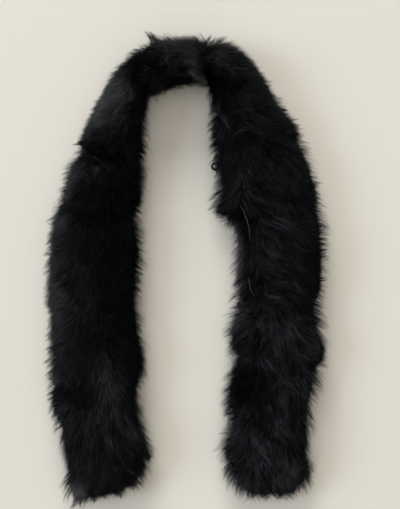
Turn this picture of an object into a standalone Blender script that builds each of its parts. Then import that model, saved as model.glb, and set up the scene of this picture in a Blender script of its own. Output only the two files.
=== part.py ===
# A black rabbit-fur collar wrap, laid flat in an upside-down U.
#
# The band is two strips of pelts, fur up over fur down, sewn along both long edges. Each pelt is a closed solid
# of the reach of its fur, lofted through upright sections that run from the outer edge of the U to the inner one.
# The upper and under strips meet on a level plane. The wire hook and eyes sit at the inner edges.
# Metres, +Z up, +X to the right, +Y towards the neck. The origin is at the middle of the underside.

import bpy
import bmesh
import math
from collections import namedtuple

MM = 0.001

STRIP_PLANE = 12.5 * MM      # height at which the two strips lie on each other
GAP = 0.3 * MM               # between neighbouring solids
UNDER_ROUND = 8.0 * MM       # radius of the under fur where it turns up from the floor
ROUND_STEPS = 3              # facets of that turn
DOME_STEPS = 12              # facets across the upper fur
DOME_FULLNESS = 0.80         # 1 is an ellipse, less is squarer
RINGS_PER_ROW = 2            # rings lofted for each row of a table

WIRE_RADIUS = 0.8 * MM       # of the hook and eyes
WIRE_BEVEL = 2               # a wire of 8 sides
FASTENER_HEIGHT = 13.0 * MM  # the wires come out between the two strips

FUR_BLACK = (0.010, 0.011, 0.013, 1.0)
HIDE_BLACK = (0.020, 0.020, 0.021, 1.0)
WIRE_BLACK = (0.015, 0.015, 0.016, 1.0)

# A seam runs straight across the band, from its outer to its inner edge. All places are in millimetres, from a
# point midway between the arms.
Seam = namedtuple("Seam", "outer_x outer_y inner_x inner_y")
SEAMS = {
    "left_low": Seam(-133, -126, -50, -118),
    "left_mid": Seam(-126, 64, -51, 62),
    "left_high": Seam(-104, 124, -43, 118),
    "neck_left": Seam(-37, 229, -40, 175),
    "neck_right": Seam(22, 227, 21, 185),
    "right_top": Seam(110, 132, 27, 125),
    "right_high": Seam(131, 61, 29, 59),
    "right_mid": Seam(130, -33, 60, -33),
    "right_low": Seam(131, -94, 50, -94),
}

# A row is one section: its two ends, the height of the fur at its middle, and how far the upper strip stops short
# of the inner edge.
Row = namedtuple("Row", "outer_x outer_y inner_x inner_y crest lap")


def at_seam(name, crest, lap=0, outer_trim=0, inner_trim=0):
    """The row on a seam. A trim draws that end of it inwards along the seam, in millimetres."""
    seam = SEAMS[name]
    across_x = seam.inner_x - seam.outer_x
    across_y = seam.inner_y - seam.outer_y
    width = math.hypot(across_x, across_y)
    across_x /= width
    across_y /= width
    return Row(
        seam.outer_x + across_x * outer_trim,
        seam.outer_y + across_y * outer_trim,
        seam.inner_x - across_x * inner_trim,
        seam.inner_y - across_y * inner_trim,
        crest,
        lap,
    )


PELTS = {
    "left_end": [
        Row(-111, -229, -64, -221, 20, 0),
        Row(-117, -221, -49, -210, 25, 0),
        Row(-119, -204, -43, -197, 28, 0),
        Row(-120, -185, -43, -184, 30, 0),
        Row(-122, -170, -40, -174, 30, 0),
        Row(-123, -160, -42, -162, 30, 0),
        Row(-129, -147, -46, -149, 30, 0),
        at_seam("left_low", 28),
    ],
    "left_front": [
        at_seam("left_low", 28),
        Row(-135, -108, -46, -103, 31, 0),
        Row(-136, -79, -45, -79, 31, 0),
        Row(-134, -53, -48, -59, 30, 0),
        Row(-138, -30, -50, -34, 31, 0),
        Row(-137, -3, -49, -2, 32, 0),
        Row(-136, 24, -47, 24, 32, 0),
        Row(-133, 46, -49, 46, 31, 0),
        at_seam("left_mid", 29),
    ],
    "left_chest": [
        at_seam("left_mid", 28, outer_trim=3),
        Row(-121, 82, -46, 80, 30, 0),
        Row(-115, 101, -44, 98, 30, 0),
        at_seam("left_high", 27, outer_trim=2),
    ],
    "left_shoulder": [
        at_seam("left_high", 28),
        Row(-102, 140, -43, 130, 31, 0),
        Row(-94, 156, -43, 142, 32, 0),
        Row(-86, 173, -43, 153, 33, 0),
        Row(-75, 193, -43, 162, 35, 0),
        Row(-61, 207, -43, 168, 37, 0),
        at_seam("neck_left", 38),
    ],
    "neck": [
        at_seam("neck_left", 37),
        Row(-26, 230, -29, 178, 46, 0),
        Row(-12, 229, -15, 185, 53, 7),
        Row(0, 229, -2, 188, 56, 13),
        Row(11, 228, 10, 188, 53, 14),
        at_seam("neck_right", 45, lap=11),
    ],
    "right_shoulder": [
        at_seam("neck_right", 46),
        Row(36, 228, 22, 180, 44, 0),
        Row(49, 224, 25, 174, 40, 0),
        Row(65, 210, 28, 169, 37, 0),
        Row(77, 191, 26, 161, 33, 0),
        Row(89, 169, 24, 149, 32, 0),
        Row(102, 151, 24, 138, 31, 0),
        at_seam("right_top", 29),
    ],
    "right_chest": [
        at_seam("right_top", 29),
        Row(118, 115, 33, 112, 32, 0),
        Row(123, 100, 33, 100, 32, 0),
        Row(127, 84, 33, 84, 31, 0),
        at_seam("right_high", 28),
    ],
    "right_front": [
        at_seam("right_high", 29, lap=14, inner_trim=8),
        Row(134, 46, 43, 43, 31, 16),
        Row(136, 22, 51, 19, 32, 12),
        Row(135, 2, 48, -1, 32, 14),
        Row(133, -17, 51, -20, 31, 13),
        at_seam("right_mid", 29, lap=6),
    ],
    "right_waist": [
        at_seam("right_mid", 28),
        Row(131, -50, 46, -45, 30, 0),
        Row(135, -68, 44, -69, 31, 0),
        Row(138, -81, 49, -84, 30, 0),
        at_seam("right_low", 27),
    ],
    "right_end": [
        at_seam("right_low", 27),
        Row(128, -113, 42, -113, 30, 0),
        Row(121, -134, 41, -130, 30, 0),
        Row(120, -149, 46, -148, 30, 0),
        Row(120, -166, 41, -166, 30, 0),
        Row(121, -184, 36, -180, 29, 0),
        Row(120, -200, 41, -197, 28, 0),
        Row(116, -213, 48, -213, 25, 0),
        Row(105, -222, 61, -223, 20, 0),
    ],
}
FREE_START = ("left_end",)   # pelts whose first or last row is a free end of the band and not a seam
FREE_FINISH = ("right_end",)

# The tuck is a roll on the under strip. It fills the strip that the neck's fur leaves bare along the inner edge.
TUCK_LEAST_LAP = 3           # millimetres: it begins where the fur stops this far short
TUCK_CLEARANCE = 0.4         # millimetres, from the neck's fur
TUCK_END_CREST = 24          # height of the roll at its ends, millimetres
TUCK_RISE = 10               # and how much higher it is in its middle

# The eyes are closed ovals of wire, flat on the level of the seam, and the hook is a bent wire.
Oval = namedtuple("Oval", "x y half_x half_y turn_degrees")
EYES = {
    "eye_high": Oval(28.2, 104.8, 3.6, 3.5, 0),
    "eye_low": Oval(53.2, -32.9, 2.8, 2.6, 0),
}
OVAL_STEPS = 20
HOOK_PLACE = (-38.2, -184.8)                # middle of the bill, millimetres
HOOK_SHANK = 4.2 * MM                       # straight length along the fur's edge
HOOK_BEND = 1.7 * MM                        # radius of its round end
HOOK_STEPS = 10


def smooth_value(before, start, end, after, share):
    """A curve through a table's values, at share 0 to 1 of the way from start to end."""
    slope_in = (end - before) / 2
    slope_out = (after - start) / 2
    square = share * share
    cube = square * share
    return (
        (2 * cube - 3 * square + 1) * start
        + (cube - 2 * square + share) * slope_in
        + (3 * square - 2 * cube) * end
        + (cube - square) * slope_out
    )


def smooth_rows(rows):
    """The rows of a table with more worked out between them, on smooth curves."""
    found = []
    last = len(rows) - 1
    for index in range(last):
        before = rows[max(index - 1, 0)]
        after = rows[min(index + 2, last)]
        for step in range(RINGS_PER_ROW):
            share = step / RINGS_PER_ROW
            found.append(
                Row(*(smooth_value(*four, share) for four in zip(before, rows[index], rows[index + 1], after)))
            )
    found.append(rows[last])
    return found


def shifted(row, towards, distance):
    """A row moved square to itself, to the side on which the other row lies. Millimetres."""
    across_x = row.inner_x - row.outer_x
    across_y = row.inner_y - row.outer_y
    width = math.hypot(across_x, across_y)
    along_x = -across_y / width
    along_y = across_x / width
    middle_x = (towards.outer_x + towards.inner_x - row.outer_x - row.inner_x) / 2
    middle_y = (towards.outer_y + towards.inner_y - row.outer_y - row.inner_y) / 2
    if along_x * middle_x + along_y * middle_y < 0:
        distance = -distance
    return row._replace(
        outer_x=row.outer_x + along_x * distance,
        outer_y=row.outer_y + along_y * distance,
        inner_x=row.inner_x + along_x * distance,
        inner_y=row.inner_y + along_y * distance,
    )


def section_frame(row, inner_stop):
    """The middle of a section, its half width and its unit direction from the outer to the inner edge."""
    across_x = (row.inner_x - row.outer_x) * MM
    across_y = (row.inner_y - row.outer_y) * MM
    full = math.hypot(across_x, across_y)
    across_x /= full
    across_y /= full
    half = (full - inner_stop * MM) / 2
    middle = (row.outer_x * MM + across_x * half, row.outer_y * MM + across_y * half)
    return middle, half, (across_x, across_y)


def placed(middle, across, offset, height):
    return (middle[0] + across[0] * offset, middle[1] + across[1] * offset, height)


def upper_ring(row, floor):
    """The fur-up section: a level base and a full dome."""
    middle, half, across = section_frame(row, row.lap)
    rise = row.crest * MM - floor
    ring = []
    for step in range(DOME_STEPS + 1):
        angle = math.pi * step / DOME_STEPS
        side = math.cos(angle)
        offset = -math.copysign(abs(side) ** DOME_FULLNESS, side) * half
        height = floor + rise * max(math.sin(angle), 0.0) ** DOME_FULLNESS
        ring.append(placed(middle, across, offset, height))
    return ring


def under_ring(row):
    """The fur-down section: flat on the floor, turned up at both edges, level on top."""
    middle, half, across = section_frame(row, 0)
    ring = [placed(middle, across, -half, STRIP_PLANE - GAP / 2)]
    turn = [math.pi / 2 * step / ROUND_STEPS for step in range(ROUND_STEPS + 1)]
    for angle in reversed(turn):
        offset = half - UNDER_ROUND * (1 - math.sin(angle))
        ring.append(placed(middle, across, -offset, UNDER_ROUND * (1 - math.cos(angle))))
    for angle in turn:
        offset = half - UNDER_ROUND * (1 - math.sin(angle))
        ring.append(placed(middle, across, offset, UNDER_ROUND * (1 - math.cos(angle))))
    ring.append(placed(middle, across, half, STRIP_PLANE - GAP / 2))
    return ring


def principled(name, colour, roughness, metallic=0.0):
    material = bpy.data.materials.new(name)
    material.use_nodes = True
    shader = material.node_tree.nodes["Principled BSDF"]
    shader.inputs["Base Color"].default_value = colour
    shader.inputs["Roughness"].default_value = roughness
    shader.inputs["Metallic"].default_value = metallic
    return material


def loft(name, rings, material):
    """One closed solid through rings that have the same number of points."""
    shape = bmesh.new()
    loops = [[shape.verts.new(point) for point in ring] for ring in rings]
    count = len(loops[0])
    for first, second in zip(loops, loops[1:]):
        for index in range(count):
            after = (index + 1) % count
            shape.faces.new((first[index], first[after], second[after], second[index]))
    shape.faces.new(loops[0])
    shape.faces.new(loops[-1])
    bmesh.ops.recalc_face_normals(shape, faces=shape.faces)
    mesh = bpy.data.meshes.new(name)
    shape.to_mesh(mesh)
    shape.free()
    mesh.shade_smooth()
    mesh.materials.append(material)
    piece = bpy.data.objects.new(name, mesh)
    bpy.context.collection.objects.link(piece)
    return piece


def seam_cut_rows(name, rows):
    """A pelt's rows, held half a gap back from each seam."""
    half_gap = GAP / MM / 2
    rows = list(rows)
    if name not in FREE_START:
        rows[0] = shifted(rows[0], rows[1], half_gap)
    if name not in FREE_FINISH:
        rows[-1] = shifted(rows[-1], rows[-2], half_gap)
    return smooth_rows(rows)


def build_pelts(parent):
    made = []
    for name, rows in PELTS.items():
        fur = principled("fur_" + name, FUR_BLACK, 0.55)
        sections = seam_cut_rows(name, rows)
        floor = STRIP_PLANE + GAP / 2
        made.append(loft("upper_" + name, [upper_ring(row, floor) for row in sections], fur))
        made.append(loft("under_" + name, [under_ring(row) for row in sections], fur))
    for piece in made:
        piece.parent = parent
    return made


def tuck_row(row, share):
    """The tuck's section beside one of the neck's, at share 0 to 1 of its length."""
    middle, half, across = section_frame(row, row.lap)
    start = half / MM + TUCK_CLEARANCE
    return Row(
        middle[0] / MM + across[0] * start,
        middle[1] / MM + across[1] * start,
        row.inner_x,
        row.inner_y,
        TUCK_END_CREST + TUCK_RISE * math.sin(math.pi * share),
        0,
    )


def build_tuck(parent):
    hide = principled("neck_tuck", HIDE_BLACK, 0.45)
    beside = [row for row in seam_cut_rows("neck", PELTS["neck"]) if row.lap >= TUCK_LEAST_LAP]
    rows = [tuck_row(row, index / (len(beside) - 1)) for index, row in enumerate(beside)]
    rings = [upper_ring(row, STRIP_PLANE + GAP / 2) for row in rows]
    tuck = loft("neck_tuck", rings, hide)
    tuck.parent = parent
    return tuck


def wire(name, points, closed, material):
    """A bent wire of round section along the points."""
    path = bpy.data.curves.new(name, "CURVE")
    path.dimensions = "3D"
    path.bevel_depth = WIRE_RADIUS
    path.bevel_resolution = WIRE_BEVEL
    path.use_fill_caps = not closed
    line = path.splines.new("POLY")
    line.points.add(len(points) - 1)
    for place, point in zip(line.points, points):
        place.co = (*point, 1.0)
    line.use_cyclic_u = closed
    path.materials.append(material)
    piece = bpy.data.objects.new(name, path)
    bpy.context.collection.objects.link(piece)
    return piece


def build_eye(name, oval, material, parent):
    turn = math.radians(oval.turn_degrees)
    points = []
    for step in range(OVAL_STEPS):
        angle = 2 * math.pi * step / OVAL_STEPS
        along = oval.half_x * math.cos(angle)
        side = oval.half_y * math.sin(angle)
        x = oval.x + along * math.cos(turn) - side * math.sin(turn)
        y = oval.y + along * math.sin(turn) + side * math.cos(turn)
        points.append((x * MM, y * MM, FASTENER_HEIGHT))
    eye = wire(name, points, True, material)
    eye.parent = parent
    return eye


def build_hook(material, parent):
    """A shank along the fur's edge, a round bend away from it and a short bill back."""
    x, y = (value * MM for value in HOOK_PLACE)
    points = [(x - HOOK_BEND, y + HOOK_SHANK, FASTENER_HEIGHT)]
    for step in range(HOOK_STEPS + 1):
        angle = math.pi * step / HOOK_STEPS
        points.append((x - HOOK_BEND * math.cos(angle), y - HOOK_BEND * math.sin(angle), FASTENER_HEIGHT))
    points.append((x + HOOK_BEND, y + HOOK_SHANK * 0.4, FASTENER_HEIGHT + 0.3 * MM))
    hook = wire("hook", points, False, material)
    hook.parent = parent
    return hook


def centre_on_underside(parent, made):
    """Moves everything so that the origin is at the middle of the underside."""
    bpy.context.view_layer.update()
    corners = [piece.matrix_world @ vertex.co for piece in made for vertex in piece.data.vertices]
    middle_x = (min(c.x for c in corners) + max(c.x for c in corners)) / 2
    middle_y = (min(c.y for c in corners) + max(c.y for c in corners)) / 2
    parent.location = (-middle_x, -middle_y, 0.0)


def main():
    for old in list(bpy.data.objects):
        bpy.data.objects.remove(old, do_unlink=True)
    wrap = bpy.data.objects.new("wrap", None)
    bpy.context.collection.objects.link(wrap)
    pelts = build_pelts(wrap)
    build_tuck(wrap)
    wire_black = principled("wire", WIRE_BLACK, 0.3, 0.8)
    for name, oval in EYES.items():
        build_eye(name, oval, wire_black, wrap)
    build_hook(wire_black, wrap)
    centre_on_underside(wrap, pelts)


main()
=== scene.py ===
import math

import bmesh
import bpy
import numpy as np
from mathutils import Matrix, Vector
from mathutils.bvhtree import BVHTree
from mathutils.kdtree import KDTree


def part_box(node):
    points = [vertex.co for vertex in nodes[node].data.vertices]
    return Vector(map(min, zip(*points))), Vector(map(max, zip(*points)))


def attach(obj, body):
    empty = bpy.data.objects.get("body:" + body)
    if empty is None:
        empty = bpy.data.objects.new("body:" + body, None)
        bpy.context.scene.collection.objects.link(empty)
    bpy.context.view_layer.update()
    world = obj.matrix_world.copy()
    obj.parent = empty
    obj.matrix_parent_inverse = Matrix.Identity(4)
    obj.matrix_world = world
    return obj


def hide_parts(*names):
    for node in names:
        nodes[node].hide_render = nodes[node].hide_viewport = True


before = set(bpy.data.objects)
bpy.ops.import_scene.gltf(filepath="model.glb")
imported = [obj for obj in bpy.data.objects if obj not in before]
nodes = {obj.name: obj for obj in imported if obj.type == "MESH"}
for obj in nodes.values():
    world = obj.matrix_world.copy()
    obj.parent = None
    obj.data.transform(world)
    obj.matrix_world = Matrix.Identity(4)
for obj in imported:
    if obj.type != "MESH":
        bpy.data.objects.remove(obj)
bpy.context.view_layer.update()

# Lengths are in metres and angles in degrees, in the frame's own axes: +X right, +Y towards the
# neck and +Z up. The tables of marks are in millimetres in the same axes.
mm = 0.001
print("frame loaded:", len(nodes), "solids")

bandOrder = ["left_end", "left_front", "left_chest", "left_shoulder", "neck", "right_shoulder",
             "right_chest", "right_front", "right_waist", "right_end"]


def table(columns, rows):
    # rows of values under named columns, from a list or a dictionary of rows
    columns = columns.split()
    if isinstance(rows, dict):
        return {name: dict(zip(columns, row)) for name, row in rows.items()}
    return [dict(zip(columns, row)) for row in rows]


def newObject(name, data):
    made = bpy.data.objects.new(name, data)
    bpy.context.scene.collection.objects.link(made)
    return made


def newMaterial(name):
    material = bpy.data.materials.new(name)
    material.use_nodes = True
    return material, material.node_tree, material.node_tree.nodes["Principled BSDF"]


def setInputs(node, values):
    for socket, value in values.items():
        node.inputs[socket].default_value = value


# ---- camera, floor and light

view = {"centre": (0.013, 0.0165), "height": 0.62, "frameHeight": 0.509, "framePlane": 0.012,
        "sensor": 36.0}


def addCamera():
    camData = bpy.data.cameras.new("overheadCamera")
    camData.sensor_width = view["sensor"]
    camData.lens = view["sensor"] * view["height"] / view["frameHeight"]
    camera = newObject("overheadCamera", camData)
    camera.location = (*view["centre"], view["framePlane"] + view["height"])
    bpy.context.scene.camera = camera


studio = {
    "floorColour": (0.80, 0.777, 0.725),
    "floorSize": 80.0,
    "floorRoughness": 0.7,
    "roomColour": (1.0, 0.94, 0.85),
    "roomStrength": 0.515,
}

# Each light comes from a compass direction (0 right, 90 past the neck) at an angle above the floor.
lights = table("from above away size power colour", {
    "leftWindow": (178, 25, 13.0, (6.5, 4.1), 790, (0.78, 0.88, 1.0)),
    "farWindow": (100, 17, 13.0, (7.4, 4.6), 1765, (1.0, 0.985, 0.93)),
})


def addLight(name, light):
    turn, rise = math.radians(light["from"]), math.radians(light["above"])
    level = math.cos(rise)
    place = Vector((math.cos(turn) * level, math.sin(turn) * level, math.sin(rise))) * light["away"]
    lampData = bpy.data.lights.new(name, "AREA")
    lampData.shape = "RECTANGLE"
    lampData.size, lampData.size_y = light["size"]
    lampData.energy = light["power"]
    lampData.color = light["colour"]
    lamp = newObject(name, lampData)
    lamp.location = place
    lamp.visible_camera = False
    lamp.rotation_euler = (-place).to_track_quat("-Z", "Y").to_euler()


def addFloor():
    half = studio["floorSize"] / 2
    corners = [(-half, -half, 0), (half, -half, 0), (half, half, 0), (-half, half, 0)]
    mesh = bpy.data.meshes.new("paleFloor")
    mesh.from_pydata(corners, [], [(0, 1, 2, 3)])
    paint, _, shader = newMaterial("floorPaint")
    setInputs(shader, {"Base Color": (*studio["floorColour"], 1),
                       "Roughness": studio["floorRoughness"]})
    mesh.materials.append(paint)
    floor = newObject("paleFloor", mesh)


def addStudio():
    bpy.context.scene.view_settings.view_transform = "Standard"
    world = bpy.data.worlds.new("softRoom")
    world.use_nodes = True
    setInputs(world.node_tree.nodes["Background"], {"Color": (*studio["roomColour"], 1),
                                                    "Strength": studio["roomStrength"]})
    bpy.context.scene.world = world
    for name, light in lights.items():
        addLight(name, light)
    addFloor()


addCamera()
addStudio()
print("camera and studio ready")


# ---- the solids of the frame

probe = {
    "seamReach": 0.0015,     # a face this near another solid is inside the band
    "offFace": 0.00002,
    "fromAbove": 0.1,
}


def allSolidsTree():
    corners, faces, owners = [], [], []
    for name, node in nodes.items():
        offset = len(corners)
        corners += [v.co.copy() for v in node.data.vertices]
        for polygon in node.data.polygons:
            faces.append([offset + v for v in polygon.vertices])
            owners.append(name)
    return BVHTree.FromPolygons(corners, faces), owners


solidsTree, solidsOwners = allSolidsTree()


def neighbourAt(name, place, normal):
    # the solid that lies just in front of a face of this one, if any
    start = place + normal * probe["offFace"]
    hit, _, index, _ = solidsTree.ray_cast(start, normal, probe["seamReach"])
    return None if hit is None or solidsOwners[index] == name else solidsOwners[index]


def topAt(x, y):
    # height of the top of the solids at a place, or None past the outline
    hit = solidsTree.ray_cast(Vector((x, y, probe["fromAbove"])), Vector((0, 0, -1)))[0]
    return None if hit is None else hit.z


# ---- the line of the band

bandLine = {
    "steps": 24,             # points between two seams
    "tipDepth": 0.010,       # corners this near the very end belong to it
    "tipTrim": 0.036,        # the line stops this far before the ends
    "batch": 20000,
}


def pointsOf(node):
    mesh = nodes[node].data
    found = np.empty(len(mesh.vertices) * 3, np.float32)
    mesh.vertices.foreach_get("co", found)
    return found.reshape(-1, 3).astype(float)


def widestPair(flat):
    apart = np.linalg.norm(flat[:, None] - flat[None], axis=2)
    pair = flat[list(np.unravel_index(apart.argmax(), apart.shape))]
    return pair[np.argsort(-np.linalg.norm(pair, axis=1))]  # outer end first


def capEnds(first, second):
    # the two ends of the face that one pelt turns to the next
    mesh = nodes[first].data
    caps = [p for p in mesh.polygons if neighbourAt(first, p.center, p.normal) == second]
    corners = {corner for cap in caps for corner in cap.vertices}
    return widestPair(np.array([mesh.vertices[corner].co[:2] for corner in corners]))


def seamBetween(first, second):
    first, second = "under_" + first, "under_" + second
    return (capEnds(first, second) + capEnds(second, first)) / 2


def freeEnd(pelt):
    points = pointsOf("under_" + pelt)[:, :2]
    return widestPair(points[points[:, 1] < points[:, 1].min() + bandLine["tipDepth"]])


def smoothLine(points, perStep):
    # a smooth curve through points, with perStep points to a stretch
    points = np.asarray(points, float)
    padded = np.vstack([2 * points[0] - points[1], points, 2 * points[-1] - points[-2]])
    share = np.arange(perStep)[:, None] / perStep
    found = []
    for a, b, c, d in zip(padded, padded[1:], padded[2:], padded[3:]):
        found.append(0.5 * (2 * b + (c - a) * share + (2 * a - 5 * b + 4 * c - d) * share ** 2
                            + (3 * b - a - 3 * c + d) * share ** 3))
    return np.vstack([*found, points[-1:]])


def buildGuide():
    seams = [seamBetween(a, b) for a, b in zip(bandOrder, bandOrder[1:])]
    ends = np.array([freeEnd(bandOrder[0]), *seams, freeEnd(bandOrder[-1])])
    halves = np.linalg.norm(ends[:, 0] - ends[:, 1], axis=1)[:, None] / 2
    # the tips are cut on a slant, and the band is as wide beside them
    halves[[0, -1]] = halves[[1, -2]]
    rows = smoothLine(np.hstack([ends.mean(1), halves]), bandLine["steps"])
    along = np.gradient(rows[:, :2], axis=0)
    along /= np.linalg.norm(along, axis=1)[:, None]
    fromTip = np.minimum(np.linalg.norm(rows[:, :2] - rows[0, :2], axis=1),
                         np.linalg.norm(rows[:, :2] - rows[-1, :2], axis=1))
    kept = fromTip > bandLine["tipTrim"]
    return {"middle": rows[kept, :2], "half": rows[kept, 2], "seams": seams,
            "outward": np.stack([-along[kept, 1], along[kept, 0]], axis=1)}


guide = buildGuide()
print("band line:", len(guide["middle"]), "points")


def locate(points):
    # where points lie across the band: the way out from its middle line, how far out, that as a
    # share of the half width, and 1 outside or -1 inside the U
    nearest = np.empty(len(points), int)
    for start in range(0, len(points), bandLine["batch"]):
        part = slice(start, start + bandLine["batch"])
        apart = points[part, None, :2] - guide["middle"][None]
        nearest[part] = (apart ** 2).sum(2).argmin(1)
    offset = points[:, :2] - guide["middle"][nearest]
    reach = np.linalg.norm(offset, axis=1)
    radial = offset / np.maximum(reach, 1e-6)[:, None]
    outer = np.sign((offset * guide["outward"][nearest]).sum(1))
    return radial, reach, reach / guide["half"][nearest], outer


# ---- small helpers

def unit(vectors):
    return vectors / np.maximum(np.linalg.norm(vectors, axis=-1)[..., None], 1e-9)


def smoothStep(values, low, high):
    share = np.clip((values - low) / (high - low), 0, 1)
    return share * share * (3 - 2 * share)


def awayFrom(points, line):
    # how far points lie from a line of straight stretches, seen from above
    nearest = np.full(len(points), np.inf)
    for start, end in zip(line, line[1:]):
        start, way = np.asarray(start, float), np.asarray(end, float) - np.asarray(start, float)
        share = np.clip(((points[:, :2] - start) @ way) / (way @ way), 0, 1)
        apart = np.linalg.norm(points[:, :2] - start - share[:, None] * way, axis=1)
        nearest = np.minimum(nearest, apart)
    return nearest


def lineOf(row):
    return np.array(row["line"]) * mm


def softLine(points, line, width):
    # 1 on a line and less beside it
    return np.exp(-(awayFrom(points, line) / width) ** 2)


def faceAreas(places, faces):
    a, b, c = places[faces].transpose(1, 0, 2)
    return np.linalg.norm(np.cross(b - a, c - a), axis=1) / 2


# Smooth random fields: how wide their swells are, a seed, and the most that each adds.
swells = table("size seed most", {
    "hairLength": (0.020, 7, 0.12),
    "hideLump": (0.030, 11, 0.0018),
    "tone": (0.030, 21, 0.06),
    "wideTurn": (0.050, 41, 12),
    "closeTurn": (0.016, 42, 8),
    "standOut": (0.035, 51, 0.25),
    "crease": (0.012, 61, 0.3),
    "tuckLump": (0.008, 71, 0.0003),
    "weltX": (0.006, 81, 0.00025),
    "weltY": (0.006, 82, 0.00025),
    "weltZ": (0.006, 83, 0.00025),
    "weltWidth": (0.005, 84, 0.2),
})
swellWaves = {"count": 7, "sizes": (0.7, 1.5), "gain": 0.7}


def drift(points, kind):
    # one of the fields at these points, the same on every run
    swell, waves = swells[kind], swellWaves["count"]
    rng = np.random.default_rng(swell["seed"])
    total = np.zeros(len(points))
    for _ in range(waves):
        way = rng.normal(size=3)
        way *= 2 * math.pi / (swell["size"] * rng.uniform(*swellWaves["sizes"]) * np.linalg.norm(way))
        total += np.sin(points @ way + rng.uniform(0, 2 * math.pi))
    return swell["most"] * np.tanh(total / math.sqrt(waves / 2) * swellWaves["gain"])


# ---- marks, creases and welts, in millimetres

def oval(at, halves, angle=0, **effects):
    return {"at": at, "halves": halves, "angle": angle, **effects}


# Soft ovals in the coat: the middle, both half widths and the angle of the first of them. tone
# lightens or darkens the hair that grows there, partly its own tone and partly painted sheen and
# painted shade; turn swings its lay, flat lays it down, sink lowers the hide, warm gives a brown
# cast, streak makes single hairs differ more, drawIn draws the hide in from the edge, and sparse
# does so and thins the coat. light paints a highlight and dark paints shade on all hair that lies
# there, wherever it grows.
marks = [
    # left shoulder: three full patches with a painted sheen, and painted shade on the inner side
    oval((-73, 196), (18, 13), 60, tone=0.44, flat=0.5, streak=0.4),
    oval((-82, 174), (15, 13), 60, tone=0.44, flat=0.5, streak=0.4),
    oval((-94, 149), (17, 13), 60, tone=0.48, flat=0.4, streak=0.4),
    oval((-62, 179), (11, 14), light=0.36, flat=0.4),
    oval((-84, 157), (11, 14), light=0.20),
    oval((-44, 150), (6, 34), tone=-0.06),
    oval((-62, 152), (14, 26), -10, tone=0.22),
    oval((-48, 203), (10, 22), tone=-0.14),
    # left chest: painted light on the outer edge and painted shade on the inner side
    oval((-114, 90), (9, 26), -12, tone=0.50),
    oval((-101, 76), (8, 15), tone=-0.20),
    oval((-95, 101), (18, 9), tone=0.30, streak=1.6),
    oval((-92, 76), (24, 13), tone=-0.24, streak=0.6),
    oval((-60, 88), (22, 44), tone=-0.36),
    # left front: painted shade on the inner side and painted light on the outer edge
    oval((-59, -10), (19, 90), tone=-0.36),
    oval((-132, -20), (20, 95), tone=0.56, streak=2.6),
    oval((-77, 40), (18, 20), tone=-0.22),
    oval((-94, -22), (14, 36), tone=0.14, streak=0.8),
    oval((-126, -102), (11, 8), 20, tone=0.16, streak=1.0, turn=-40),
    oval((-74, -100), (18, 28), 10, tone=0.46, streak=1.2),
    # left end, with a painted highlight at its outer corner
    oval((-111, -187), (9, 12), warm=0.7),
    oval((-54, -190), (9, 14), tone=-0.12),
    oval((-108, -215), (11, 11), tone=0.30, flat=0.4, streak=0.6),
    oval((-108, -221), (9, 12), light=0.70),
    # neck: a painted highlight patch and a painted sheen on its top
    oval((8, 207), (12, 8), -12, tone=0.30, flat=0.6, streak=2.0),
    oval((6, 201), (8, 4.5), -12, light=0.62),
    oval((-9, 196), (7, 2.2), -25, light=0.42),
    oval((0, 220), (22, 9), -4, tone=0.16, flat=0.5, warm=0.3),
    oval((-6, 227), (30, 7), -2, turn=-80),
    oval((-8, 230), (34, 9), -2, drawIn=1.0),
    oval((-31, 205), (13, 22), tone=-0.42),
    oval((-27, 182), (8, 7), tone=0.10, warm=0.8),
    # right shoulder
    oval((36, 219), (12, 10), tone=0.20),
    oval((33, 187), (15, 11), tone=-0.30),
    oval((30, 157), (7, 18), sparse=0.9, light=0.12),
    oval((60, 202), (10, 10), tone=0.14, flat=0.4),
    oval((106, 141), (6, 10), 30, tone=0.04, warm=0.6),
    # right chest
    oval((88, 107), (12, 9), tone=0.12),
    oval((50, 92), (8, 16), tone=0.34),
    oval((66, 122), (16, 12), tone=-0.12),
    # right front, with painted light on the fringe beside the hide edge
    oval((68, 18), (9, 15), -25, tone=0.16, flat=0.5),
    oval((47, 12), (7, 38), tone=0.46, streak=1.5, warm=0.4),
    oval((48, 20), (6, 30), light=0.75),
    oval((60, 20), (7, 22), light=0.07),
    oval((40, 14), (8, 34), sparse=1.0),
    oval((118, 20), (16, 60), tone=-0.10, warm=0.35),
    # right waist: a painted sheen band, and a hollow with painted shade below it
    oval((51, -48), (9, 13), tone=0.22, streak=0.6),
    oval((60, -66), (14, 11), tone=-0.24),
    oval((77, -89), (15, 6), -25, tone=0.40, flat=0.6),
    oval((76, -89), (12, 3.5), -25, light=0.22),
    oval((60, -108), (20, 14), tone=-0.75, sink=3.5),
    oval((58, -112), (16, 14), dark=0.8),
    oval((110, -108), (12, 14), tone=0.06, streak=1.0),
    # right end, with painted highlights near its tip
    oval((70, -164), (14, 12), -40, tone=0.16, streak=0.8),
    oval((85, -182), (22, 32), streak=1.0),
    oval((118, -165), (9, 34), tone=-0.14, warm=0.2),
    oval((42, -176), (10, 12), tone=-0.10),
    oval((34, -166), (13, 12), turn=-80),
    oval((50, -214), (14, 11), light=0.30),
    oval((97, -209), (15, 14), light=0.28),
]

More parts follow.
